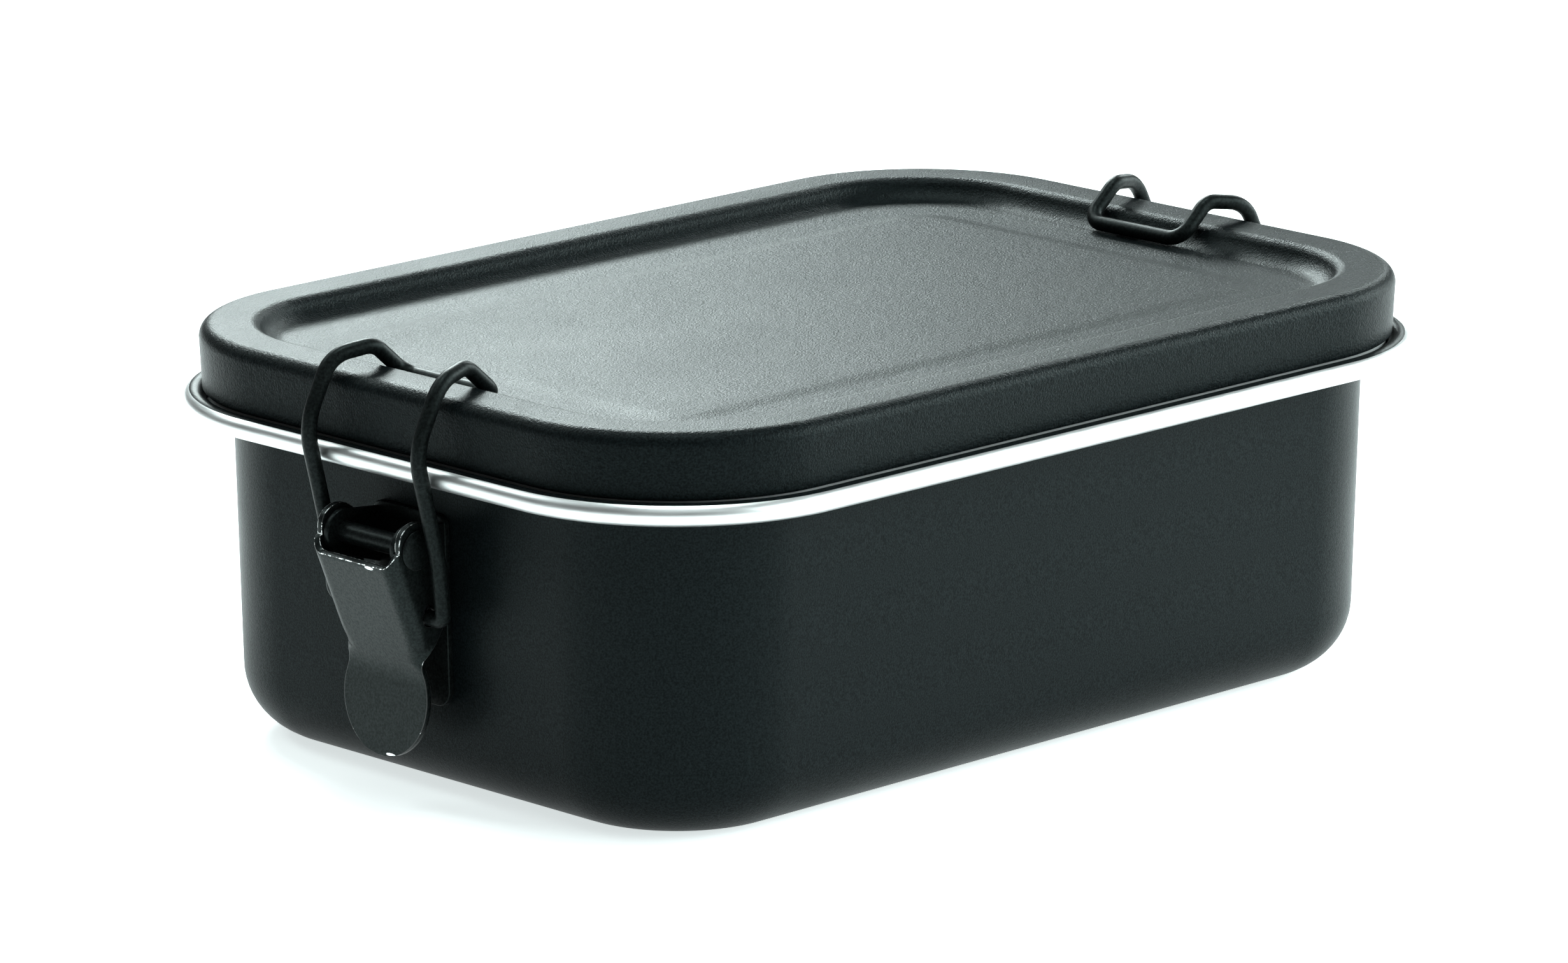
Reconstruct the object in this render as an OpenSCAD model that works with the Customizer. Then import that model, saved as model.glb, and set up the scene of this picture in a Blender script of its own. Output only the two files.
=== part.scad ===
// Stainless steel lunch box with a lift-off lid and a wire-bail clip at each end.
// The origin is at the middle of the base, X runs along the box from clip to clip, and Z is up.

/* [Tray] */
// Length over the rolled rim
rim_length = 165; // [150:1:190]
// Width over the rolled rim
rim_width = 116; // [100:1:140]
// Corner radius of the rim, seen from above
rim_corner = 30; // [28:1:36]
// Height of the middle of the rolled rim
rim_height = 48; // [46:0.5:70]
// Radius of the roll
bead_r = 1.6; // [1.4:0.1:1.8]
// Distance from the rim's edge in to the wall, just under the rim
wall_inset_top = 7; // [6.8:0.1:7.4]
// Distance from the rim's edge in to the wall, at the base
wall_inset_base = 7.9; // [7.5:0.1:9]
// Radius between the wall and the base
base_fillet = 10; // [6:0.5:12]
// Thickness of the coated steel sheet
sheet = 0.7; // [0.5:0.05:0.8]

/* [Lid] */
// Height of the lid's top above the rim
lid_rise = 10.8; // [10:0.1:12]
// Distance from the rim's edge in to the lid's skirt
lid_inset = 2.3; // [2.1:0.1:2.6]
// Width of the raised ridge around the lid
ridge_width = 7; // [6.5:0.1:7.5]
// Depth of the lid's recess below the ridge
recess_depth = 3.1; // [2.5:0.1:3.3]
// Outer edge radius of the ridge
ridge_edge_r = 2; // [1.5:0.1:2.2]
// Height of the shallow panel that stands up from the recess
panel_rise = 0.3; // [0.2:0.1:0.6]
// Distance from the lid's edge in to the raised panel
panel_inset = 19.5; // [18:0.5:24]

/* [Clips] */
// Height of the lever's pivot
pivot_height = 37.6; // [37:0.2:38]
// Width of the lever over its cheeks
lever_width = 16.5; // [16:0.1:17]
// Thickness of the lever and bracket sheet
clip_sheet = 0.9; // [0.8:0.05:1]
// Diameter of the bail wire
wire_d = 2.2; // [1.8:0.1:2.2]
// Distance between the bail's legs, middle to middle
leg_spacing = 22; // [21.6:0.1:23]
// Diameter of the pivot pin
pin_d = 3; // [2.5:0.1:3.2]
// Diameter of the pin's rivet heads
pin_head_d = 5.6; // [5:0.1:6]

/* [Hidden] */

coat_black = "#1c1e1f";
seal_grey = "#b8bcbc";

// Centres of the corner arcs, which every outline of the box shares
corner_x = rim_length / 2 - rim_corner;
corner_y = rim_width / 2 - rim_corner;

// Radii from a corner's centre
wall_r_top = rim_corner - wall_inset_top;
wall_r_base = rim_corner - wall_inset_base;
bead_path_r = rim_corner - bead_r;
lid_r = rim_corner - lid_inset;

// Rim: the flange lies just below the middle of the roll
flange_top = rim_height - bead_r / 2;
flange_under = flange_top - sheet;
mouth_r = 1.5;
neck_r = 0.8;
roll_start = -110;

// Lid
lid_top = rim_height + lid_rise;
skirt_bottom = rim_height + 1.5;
skirt_lean = 0.35;
recess_top = lid_top - recess_depth;
panel_top = recess_top + panel_rise;
ridge_slope = 60;
ridge_blend_r = 2;
valley_blend_r = 4;
panel_step_w = 4.2;

// Seal: an L section with its head in the ridge and its lip on the flange
seal_gap = 0.1;
seal_side_gap = 0.2;
seal_lip = 2.4;
seal_head = 5.2;
seal_head_h = 2.4;
seal_chamfer = 1.2;

// Clip bracket, drawn at the +X end
wall_lean = atan((wall_r_top - wall_r_base) / (flange_under - neck_r - base_fillet));
weld_gap = 0.02;
plate_foot = 13.8;
plate_top = 41;
ear_side_gap = 0.15;
plate_half = lever_width / 2 - clip_sheet - ear_side_gap;
plate_corner = 2.5;
ear_r = 3.2;
ear_root = 5.5;
ear_inset = 0.04;
ear_start = -80;

// Pin: the pivot's distance from the wall's top, and the play around the pin and under its heads
pivot_out = 6.8;
pivot_x = corner_x + wall_r_top + pivot_out;
pin_clear = 0.06;
head_clear = 0.05;
pin_head_h = 0.75;
// Longer than anything that a hole is cut through
cut_length = 24;

// Lever, about its pivot
cheek_r = 3.8;
hole_out = -2.3;
hole_down = -9.9;
hole_r = wire_d / 2 + 0.3;
lobe_r = 3.1;
web_top = [4.7, -2.2];
web_crease = [-1.8, -18.4];
web_end = [-0.55, -30.6];
tab_r = 8.35;
neck_half = 7.3;
taper_start = -14;
cheek_back = [[-3.6, -1.2], [-5.3, -8], [-5, -11], [-3.5, -14.6]];
cheek_front = [3.75, 0.4];
cheek_foot_rise = 1.6;
cheek_foot_in = 0.8;

// Bail: the gaps that it keeps from the lever and the recess, and the radii of its bends
end_gap = 0.35;
bail_rest = 0.15;
hook_in = 4.9;
hook_narrower = 1.8;
bail_bends = [1.2, 20, 9, 5, 3.2, 2.5];
bend_step = 15;
wire_sides = 12;

$fn = 64;

// Points of an arc about a centre, from one angle to another
function arc(centre, r, from, to, steps = 8) =
    [for (i = [0:steps]) let (a = from + (to - from) * i / steps) centre + r * [cos(a), sin(a)]];

function unit(v) = v / norm(v);

// The left-hand normal of a line of points at point i
function normal_at(p, i) =
    let (a = p[max(i - 1, 0)], b = p[min(i + 1, len(p) - 1)], d = unit(b - a)) [-d[1], d[0]];

// A closed outline of even thickness t to the right of an open line of points
function strip(p, t) =
    concat(p, [for (i = [len(p) - 1:-1:0]) p[i] - t * normal_at(p, i)]);

// Sweeps a profile around the box: its x is the distance from a corner's centre, its y the height
module around_box() {
    for (q = [0:3]) {
        across = q % 2 == 0 ? corner_x : corner_y;
        along = q % 2 == 0 ? corner_y : corner_x;
        rotate([0, 0, 90 * q]) translate([across, along, 0]) {
            rotate_extrude(angle = 90, $fn = 96) children();
            rotate([90, 0, 0]) linear_extrude(2 * along) children();
        }
    }
}

// A flat plate that fills the rectangle between the corners' centres
module core_plate(bottom, top) {
    translate([-corner_x, -corner_y, bottom]) cube([2 * corner_x, 2 * corner_y, top - bottom]);
}

// Tray: one deep pressing, with its edge turned out to a flange and rolled over
module tray() {
    fillet_c = [wall_r_base - base_fillet, base_fillet];
    roll_c = [bead_path_r, rim_height];
    over_angle = 180 + asin((rim_height - flange_top) / bead_r);
    outside = concat(
        [[0, 0]],
        arc(fillet_c, base_fillet, -90, 0, 10),
        arc([wall_r_top + neck_r, flange_under - neck_r], neck_r, 180, 90, 4),
        arc(roll_c, bead_r, roll_start, over_angle, 20));
    inside = concat(
        arc([wall_r_top - sheet + mouth_r, flange_top - mouth_r], mouth_r, 90, 180, 6),
        arc(fillet_c, base_fillet - sheet, 0, -90, 10),
        [[0, sheet]]);
    color(coat_black) union() {
        around_box() polygon(concat(outside, inside));
        core_plate(0, sheet);
    }
}

// The lid's upper surface, from the middle out and down to the skirt's edge
function lid_line() =
    let (inner_r = lid_r - ridge_width,
         step_r = lid_r - panel_inset,
         edge_c = [lid_r - ridge_edge_r, lid_top - ridge_edge_r],
         crest_c = [inner_r, lid_top - ridge_blend_r],
         crest_foot = crest_c + ridge_blend_r * [-sin(ridge_slope), cos(ridge_slope)],
         valley_z = recess_top + valley_blend_r,
         wall_run = (crest_foot[1] - valley_z + valley_blend_r * cos(ridge_slope)) / tan(ridge_slope),
         valley_c = [crest_foot[0] - wall_run - valley_blend_r * sin(ridge_slope), valley_z])
    concat(
        [[0, panel_top], [step_r - panel_step_w, panel_top], [step_r, recess_top]],
        arc(valley_c, valley_blend_r, -90, ridge_slope - 90, 8),
        arc(crest_c, ridge_blend_r, 90 + ridge_slope, 90, 6),
        arc(edge_c, ridge_edge_r, 90, 0, 8),
        [[lid_r - skirt_lean, skirt_bottom]]);

// Lid: one pressing with a raised ridge, a recess and a skirt
module lid() {
    color(coat_black) union() {
        around_box() polygon(strip(lid_line(), sheet));
        core_plate(panel_top - sheet, panel_top);
    }
}

// Lid seal: a moulded ring of L section, held in the ridge
module lid_seal() {
    outer_r = lid_r - skirt_lean - sheet - seal_side_gap;
    top = lid_top - sheet - seal_gap;
    foot = flange_top + seal_gap;
    color(seal_grey) around_box() polygon([
        [outer_r - seal_lip, foot], [outer_r, foot], [outer_r, top - seal_chamfer],
        [outer_r - seal_chamfer, top], [outer_r - seal_head, top], [outer_r - seal_head, top - seal_head_h],
        [outer_r - seal_lip, top - seal_head_h]]);
}

// Clip bracket: a plate welded to the end wall, with two ears for the pin
module latch_bracket() {
    foot_x = corner_x + wall_r_base + (plate_foot - base_fillet) * tan(wall_lean) + weld_gap;
    root_x = foot_x + clip_sheet + (pivot_height - ear_root - plate_foot) * tan(wall_lean) / 2;
    height = plate_top - plate_foot;
    corner = plate_half - plate_corner;
    pivot = [pivot_x, pivot_height];
    plate = concat(arc([-corner, plate_corner], plate_corner, 180, 270, 6),
                   arc([corner, plate_corner], plate_corner, -90, 0, 6),
                   [[plate_half, height], [-plate_half, height]]);
    ear = concat([[root_x, pivot_height - ear_root]], arc(pivot, ear_r, ear_start, 90, 16),
                 [[root_x, pivot_height + ear_r]]);
    color(coat_black) difference() {
        union() {
            translate([foot_x, 0, plate_foot]) rotate([0, wall_lean, 0])
                rotate([90, 0, 90]) linear_extrude(clip_sheet) polygon(plate);
            for (side = [-1, 1]) translate([0, side * (plate_half - ear_inset - clip_sheet / 2), 0])
                rotate([90, 0, 0]) linear_extrude(clip_sheet, center = true) polygon(ear);
        }
        translate([pivot_x, 0, pivot_height]) rotate([90, 0, 0])
            cylinder(h = cut_length, d = pin_d, center = true);
    }
}

// Pivot pin: a rivet through the ears and the lever, with a head at each end
module latch_pin() {
    shank = lever_width + 2 * head_clear;
    color(coat_black) translate([pivot_x, 0, pivot_height]) rotate([90, 0, 0]) union() {
        cylinder(h = shank, d = pin_d, center = true);
        for (side = [-1, 1]) translate([0, 0, side * (shank + pin_head_h) / 2])
            cylinder(h = pin_head_h, d = pin_head_d, center = true);
    }
}

// One cheek's outline, about the pivot
module cheek_outline() {
    slope = (web_top[0] - web_crease[0]) / (web_top[1] - web_crease[1]);
    foot = web_crease + cheek_foot_rise * [slope, 1];
    circle(cheek_r);
    translate([hole_out, hole_down + 1]) circle(lobe_r);
    polygon(concat(cheek_back, [foot - [cheek_foot_in, 0], foot, web_top, cheek_front]));
}

// The lever's outline from the front: a tapering face that ends in a round finger tab
module face_outline() {
    half = lever_width / 2;
    polygon([[-half, web_top[1]], [-half, taper_start], [-neck_half, web_crease[1]],
             [neck_half, web_crease[1]], [half, taper_start], [half, web_top[1]]]);
    translate([0, web_end[1] + tab_r]) circle(tab_r);
}

// Lever: a stamped channel that hooks the bail's ends below its pivot
module latch_lever() {
    cheek_y = (lever_width - clip_sheet) / 2;
    face = [web_top, web_crease, web_end];
    color(coat_black) translate([pivot_x, 0, pivot_height]) difference() {
        union() {
            intersection() {
                rotate([90, 0, 0]) linear_extrude(lever_width, center = true)
                    polygon(strip(face, clip_sheet));
                rotate([90, 0, 90]) linear_extrude(cut_length, center = true) face_outline();
            }
            for (side = [-1, 1]) translate([0, side * cheek_y, 0])
                rotate([90, 0, 0]) linear_extrude(clip_sheet, center = true) cheek_outline();
        }
        rotate([90, 0, 0]) cylinder(h = cut_length, d = pin_d + 2 * pin_clear, center = true);
        translate([hole_out, 0, hole_down]) rotate([90, 0, 0])
            cylinder(h = cut_length, r = hole_r, center = true);
    }
}

// The points of one bend of radius r, where a wire turns at a corner between two others
function bend(before, corner, after, r) =
    let (inward = unit(before - corner),
         turn = 180 - acos(inward * unit(after - corner)),
         steps = ceil(turn / bend_step),
         middle = corner + unit(inward + unit(after - corner)) * r / cos(turn / 2),
         radial = (corner + r * tan(turn / 2) * inward - middle) / r)
    [for (k = [0:steps]) middle + r * (radial * cos(turn * k / steps) - inward * sin(turn * k / steps))];

// The middle line of a wire bent through a list of points, with one radius for each inner point
function bent_line(points, bends) =
    concat([points[0]],
           [for (i = [1:len(points) - 2]) each bend(points[i - 1], points[i], points[i + 1], bends[i - 1])],
           [points[len(points) - 1]]);

// One side vector for each tangent, carried along the wire without twisting
function side_vectors(tangents, last, i = 0) =
    i == len(tangents) ? [] :
        let (side = unit(last - (last * tangents[i]) * tangents[i]))
        concat([side], side_vectors(tangents, side, i + 1));

// A round wire of diameter d along a line of points
module round_wire(line, d) {
    rings = len(line);
    tangents = [for (i = [0:rings - 1]) unit(line[min(i + 1, rings - 1)] - line[max(i - 1, 0)])];
    sides = side_vectors(tangents, [0, 0, 1]);
    points = [for (i = [0:rings - 1], k = [0:wire_sides - 1]) let (a = 360 * k / wire_sides)
        line[i] + d / 2 * (cos(a) * sides[i] + sin(a) * cross(tangents[i], sides[i]))];
    skin = [for (i = [0:rings - 2], k = [0:wire_sides - 1])
        let (a = i * wire_sides + k, b = i * wire_sides + (k + 1) % wire_sides)
        each [[a, a + wire_sides, b], [b, a + wire_sides, b + wire_sides]]];
    caps = [[for (k = [0:wire_sides - 1]) k],
            [for (k = [wire_sides - 1:-1:0]) (rings - 1) * wire_sides + k]];
    polyhedron(points, concat(skin, caps));
}

// Bail: a wire loop from the lever's cheeks, over the lid's ridge and down into its recess
module latch_bail() {
    r = wire_d / 2;
    leg_y = leg_spacing / 2;
    end_y = lever_width / 2 + head_clear + pin_head_h + end_gap;
    hole = [pivot_x + hole_out, pivot_height + hole_down];
    rim_x = corner_x + rim_corner;
    hook_y = leg_y - hook_narrower;
    hook = [corner_x + lid_r - ridge_width - hook_in, hook_y, recess_top + r + bail_rest];
    half = [[hole[0], end_y, hole[1]], [hole[0], leg_y, hole[1]],
            [rim_x - 1.6, leg_y, rim_height - 12], [rim_x + 2.4, leg_y, rim_height + 4],
            [rim_x - 2.2, leg_y, rim_height + 13], [rim_x - 8.6, hook_y, rim_height + 13.9], hook];
    back = [for (i = [len(half) - 1:-1:0]) [half[i][0], -half[i][1], half[i][2]]];
    back_bends = [for (i = [len(bail_bends) - 1:-1:0]) bail_bends[i]];
    color(coat_black) round_wire(bent_line(concat(half, back), concat(bail_bends, back_bends)), wire_d);
}

// Puts a piece at the left end, facing the other way
module left_end() {
    mirror([1, 0, 0]) children();
}

tray();
lid();
lid_seal();
left_end() latch_bracket();  // latch_bracket_left
left_end() latch_pin();  // latch_pin_left
left_end() latch_lever();  // latch_lever_left
left_end() latch_bail();  // latch_bail_left
latch_bracket();  // latch_bracket_right
latch_pin();  // latch_pin_right
latch_lever();  // latch_lever_right
latch_bail();  // latch_bail_right
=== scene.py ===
"""Looks for the lunch box: coated tray and lid, bare steel rim, seal and two wire-bail clips."""

import math

import bmesh
import bpy
from mathutils import Matrix, Vector


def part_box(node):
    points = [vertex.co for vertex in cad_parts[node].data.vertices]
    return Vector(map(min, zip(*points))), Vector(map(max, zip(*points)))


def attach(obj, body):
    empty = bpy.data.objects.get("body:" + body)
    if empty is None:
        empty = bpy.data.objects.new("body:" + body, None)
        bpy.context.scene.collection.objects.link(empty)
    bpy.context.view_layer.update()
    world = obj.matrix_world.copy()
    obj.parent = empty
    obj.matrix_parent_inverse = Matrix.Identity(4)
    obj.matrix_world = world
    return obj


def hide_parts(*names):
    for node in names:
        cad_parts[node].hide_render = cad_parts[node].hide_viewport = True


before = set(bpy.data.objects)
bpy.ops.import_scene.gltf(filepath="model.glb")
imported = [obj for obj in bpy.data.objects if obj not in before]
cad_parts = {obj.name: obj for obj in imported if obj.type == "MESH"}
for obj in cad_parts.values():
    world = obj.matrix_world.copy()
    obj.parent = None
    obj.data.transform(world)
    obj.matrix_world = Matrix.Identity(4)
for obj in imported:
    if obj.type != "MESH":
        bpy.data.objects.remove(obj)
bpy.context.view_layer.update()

MM = 0.001

# ---------------------------------------------------------------- sizes, in millimetres


def box_mm(node):
    """The lowest and highest corner of a CAD node, in millimetres."""
    low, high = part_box(node)
    return low / MM, high / MM


TRAY_HIGH = box_mm("tray")[1]
LID_LOW, LID_HIGH = box_mm("lid")
SEAL_LOW, SEAL_HIGH = box_mm("lid_seal")
PIN_LOW, PIN_HIGH = box_mm("latch_pin_right")
LEVER_HALF = box_mm("latch_lever_right")[1].y
BRACKET_HALF = box_mm("latch_bracket_right")[1].y
BAIL_HALF = box_mm("latch_bail_right")[1].y

# Every outline of the box shares four corner centres, and closes on one middle line
CORNER_R = 30.0
CENTRE_X = TRAY_HIGH.x - CORNER_R
CENTRE_Y = TRAY_HIGH.y - CORNER_R
MEDIAL_X = CENTRE_X - CENTRE_Y

# Tray: sheet, rolled rim, flange, wall, and the radii that join them
SHEET = 0.7
BEAD_R = 1.6
RIM_Z = TRAY_HIGH.z - BEAD_R
BEAD_PATH_R = CORNER_R - BEAD_R
FLANGE_TOP = RIM_Z - BEAD_R / 2
FLANGE_UNDER = FLANGE_TOP - SHEET
WALL_R_TOP = CORNER_R - 7.0
WALL_R_BASE = CORNER_R - 7.9
BASE_FILLET = 10.0
NECK_R = 0.8
MOUTH_R = 1.5

# Lid: skirt, raised ridge, recess and the panel pressed into the recess
LID_R = LID_HIGH.x - CENTRE_X
LID_TOP = LID_HIGH.z
SKIRT_BOTTOM = LID_LOW.z
SKIRT_LEAN = 0.35
RIDGE_WIDTH = 7.0
RIDGE_EDGE_R = 2.0
RIDGE_SLOPE = 60.0
RIDGE_BLEND_R = 2.0
VALLEY_BLEND_R = 4.0
RECESS_TOP = LID_TOP - 3.1
PANEL_TOP = RECESS_TOP + 0.3
PANEL_R = LID_R - 19.5
PANEL_STEP = 4.2
MIDDLE_RISE = 0.06

# Seal: an L section, measured in from its outer edge and down from its top
SEAL_LIP = 2.4
SEAL_HEAD = 5.2
SEAL_HEAD_H = 2.4
SEAL_EDGE_R = 0.4
SEAL_HEAD_EDGE_R = 0.5
SEAL_CHAMFER_R = 1.2

# Clip: sheet, pin, and the wire of the bail
CLIP_SHEET = 0.9
PIVOT_X = (PIN_LOW.x + PIN_HIGH.x) / 2
PIVOT_Z = (PIN_LOW.z + PIN_HIGH.z) / 2
PIN_HEAD_R = (PIN_HIGH.x - PIN_LOW.x) / 2
PIN_R = 1.5
PIN_HEAD_H = 0.75
PIN_HEAD_STEP = 0.12
PIN_HEAD_RIM = 0.18
WIRE_R = 1.1

# The lever's face, about the pivot: x out from the wall, z up
WEB_TOP = (4.7, -2.2)
WEB_CREASE = (-1.8, -18.4)
WEB_END = (-0.55, -30.6)
CREASE_R = 5.0
BEND_R = 2.1
TAB_R = 8.35
NECK_HALF = 7.3
NECK_BLEND = 0.8
EAR_R = 3.8
EAR_FRONT_DROP = 1.5
EAR_FADE = 4.5
EAR_TOP_ANGLE = 100
HOLE = (-2.3, -9.9)
HOLE_R = 1.3
LEVER_BEVEL = 0.1

# Stretches down the face, from its top: where it narrows, and where its sides unfold
TAPER = (11.5, 17.6)
UNFOLD = (13.2, 17.4)

# The cheeks' rear edge: how far behind the face it runs, at distances down the face
CHEEK_BACK = [(-0.29, 8.98), (2.2, 8.1), (5.0, 7.6), (9.1, 7.12), (11.8, 5.72), (14.4, 3.0), (16.2, 0.9)]

# The bracket's plate, and its ears about the pivot
PLATE_FOOT_Z = 13.8
PLATE_TOP_Z = 41.0
PLATE_GAP = 0.02
PLATE_FOOT_R = 2.5
PLATE_TOP_R = 1.5
BRACKET_EAR_R = 3.2
BRACKET_EAR_ARC = (-80, 112)
BRACKET_EAR_DROP = 5.5
BRACKET_EAR_RISE = 2.4
BRACKET_EAR_INSET = 0.14
BRACKET_BEVEL = 0.18

# The bail: its leg from the rim's edge and height, then the hook in the lid's recess
BAIL_LEG = ((-1.6, -12), (2.4, 4), (-2.2, 13))
BAIL_SHOULDER = (-8.6, 13.9)
BAIL_BENDS = (1.2, 20, 9, 5, 3.2, 2.5)
HOOK_IN = 4.9
HOOK_NARROWER = 1.8
HOOK_REST = 0.15
BAIL_END_INSIDE = 0.35


# ---------------------------------------------------------------- mesh helpers


def arc(cx, cz, r, start, end, steps):
    """Points of an arc, with angles in degrees."""
    angles = [math.radians(start + (end - start) * i / steps) for i in range(steps + 1)]
    return [(cx + r * math.cos(a), cz + r * math.sin(a)) for a in angles]


def line(a, b, steps):
    """The points between two ends, without the ends, so that no face gets too long."""
    return [tuple(p + (q - p) * i / steps for p, q in zip(a, b)) for i in range(1, steps)]


def outline(r, corner_steps=28, long_steps=18, short_steps=10):
    """A level loop around the box, r out from the corners' centres."""
    points = []
    for q in range(4):
        cx = CENTRE_X if q in (0, 3) else -CENTRE_X
        cy = CENTRE_Y if q in (0, 1) else -CENTRE_Y
        points += arc(cx, cy, r, 90 * q, 90 * q + 90, corner_steps)
        nx = -CENTRE_X if q in (0, 1) else CENTRE_X
        ny = CENTRE_Y if q in (0, 3) else -CENTRE_Y
        steps = long_steps if q in (0, 2) else short_steps
        turned = math.radians(90 * q + 90)
        side_x = r * math.cos(turned)
        side_y = r * math.sin(turned)
        points += line((cx + side_x, cy + side_y), (nx + side_x, ny + side_y), steps)
    return points


def shade_smooth(mesh, angle):
    """Smooth shading, apart from edges sharper than an angle in degrees."""
    for polygon in mesh.polygons:
        polygon.use_smooth = True
    mesh.set_sharp_from_angle(angle=math.radians(angle))


def link_object(name, data):
    """A new object in the scene."""
    obj = bpy.data.objects.new(name, data)
    bpy.context.scene.collection.objects.link(obj)
    return obj


def object_from(bm, name, materials, smooth_angle=35, outward=None):
    """An object in metres from a mesh in millimetres. outward says where an open sheet faces."""
    bmesh.ops.recalc_face_normals(bm, faces=bm.faces)
    if outward and sum(f.normal.dot(outward) * f.calc_area() for f in bm.faces) < 0:
        bmesh.ops.reverse_faces(bm, faces=bm.faces)
    bmesh.ops.scale(bm, vec=(MM, MM, MM), verts=bm.verts)
    mesh = bpy.data.meshes.new(name)
    bm.to_mesh(mesh)
    bm.free()
    for material in materials:
        mesh.materials.append(material)
    shade_smooth(mesh, smooth_angle)
    return link_object(name, mesh)


def add_ring(bm, r, z):
    """One loop of vertices around the box at radius r and height z."""
    return [bm.verts.new((x, y, z)) for x, y in outline(r)]


def bridge(bm, a, b, material=0):
    """Quads between two loops of vertices."""
    n = len(a)
    for i in range(n):
        face = bm.faces.new((a[i], a[(i + 1) % n], b[(i + 1) % n], b[i]))
        face.material_index = material


def fill_middle(bm, ring, rise, material, rows=7):
    """Closes a loop with rows that shrink to the box's middle line, crowned by rise."""
    start = [v.co.copy() for v in ring]
    last = ring
    for k in range(1, rows + 1):
        t = k / rows
        height = rise * (1 - (1 - t) ** 2)
        row = []
        for p in start:
            target = Vector((max(-MEDIAL_X, min(MEDIAL_X, p.x)), 0, p.z))
            row.append(bm.verts.new(p.lerp(target, t) + Vector((0, 0, height))))
        bridge(bm, last, row, material)
        last = row
    bmesh.ops.remove_doubles(bm, verts=last, dist=1e-4)


def sweep(name, profile, materials, bands, closed=False, middle_rise=None):
    """Carries a profile of (r, z) points around the box. bands gives each stretch's material.

    middle_rise closes the profile's first and last loop across the box, crowned by that much.
    """
    bm = bmesh.new()
    rings = [add_ring(bm, r, z) for r, z in profile]
    count = len(rings) if closed else len(rings) - 1
    for i in range(count):
        bridge(bm, rings[i], rings[(i + 1) % len(rings)], bands[i])
    if middle_rise is not None:
        for i in (0, -1):
            fill_middle(bm, rings[i], middle_rise, bands[i])
    return object_from(bm, name, materials)


def finish_piece(obj, body, node):
    """Rides a piece on its body, in place of its CAD node."""
    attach(obj, body)
    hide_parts(node)


def add_bevel(obj, width, segments, angle, material=-1):
    """A small bevel on the sharp edges, with a material of its own if one is given."""
    bevel = obj.modifiers.new("edges", "BEVEL")
    bevel.width = width * MM
    bevel.segments = segments
    bevel.limit_method = "ANGLE"
    bevel.angle_limit = math.radians(angle)
    bevel.material = material
    bevel.use_clamp_overlap = False


def apply_modifiers(obj):
    """Turns the modifiers' result into the object's own mesh."""
    bpy.context.view_layer.update()
    evaluated = obj.evaluated_get(bpy.context.evaluated_depsgraph_get())
    mesh = bpy.data.meshes.new_from_object(evaluated)
    obj.modifiers.clear()
    obj.data = mesh
    shade_smooth(mesh, 35)


def mirrored(obj, name):
    """A copy at the left end, facing the other way."""
    mesh = obj.data.copy()
    mesh.transform(Matrix.Scale(-1, 4, (1, 0, 0)))
    mesh.flip_normals()
    return link_object(name, mesh)


# ---------------------------------------------------------------- materials


# The part of a noise's values that is spread over a material's range
WIDE_RANGE = (0.3, 0.7)
GRAIN_RANGE = (0.36, 0.64)

# Where a chip ends, and how much noise an edge needs to turn to bare steel, low down and at the top;
# needing less at the top is partly wear and partly a painted highlight on the top edges the light catches
CHIP_EDGE = (1.4, 1.6)
WEAR_AND_HIGHLIGHT_NEED = (0.66, 0.5)

CHIP_TONE = (0.86, 0.88, 0.88)
BOX_SHADE = (0.003, 0.0045, 0.005)
CLIP_SHADE = (0.004, 0.005, 0.005)
COAT_TINT = (0.8, 1, 0.98, 1)

# Two chips in the lever's coat, at its face's top edge and its tab's end
FACE_EDGE_Z = PIVOT_Z + WEB_TOP[1]
TAB_END_Z = PIVOT_Z + WEB_END[1]
LEVER_CHIPS = ((-3.6, FACE_EDGE_Z - 0.35, 0.85, 0.25), (-1.9, TAB_END_Z + 0.47, 1.0, 0.22))


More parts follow.
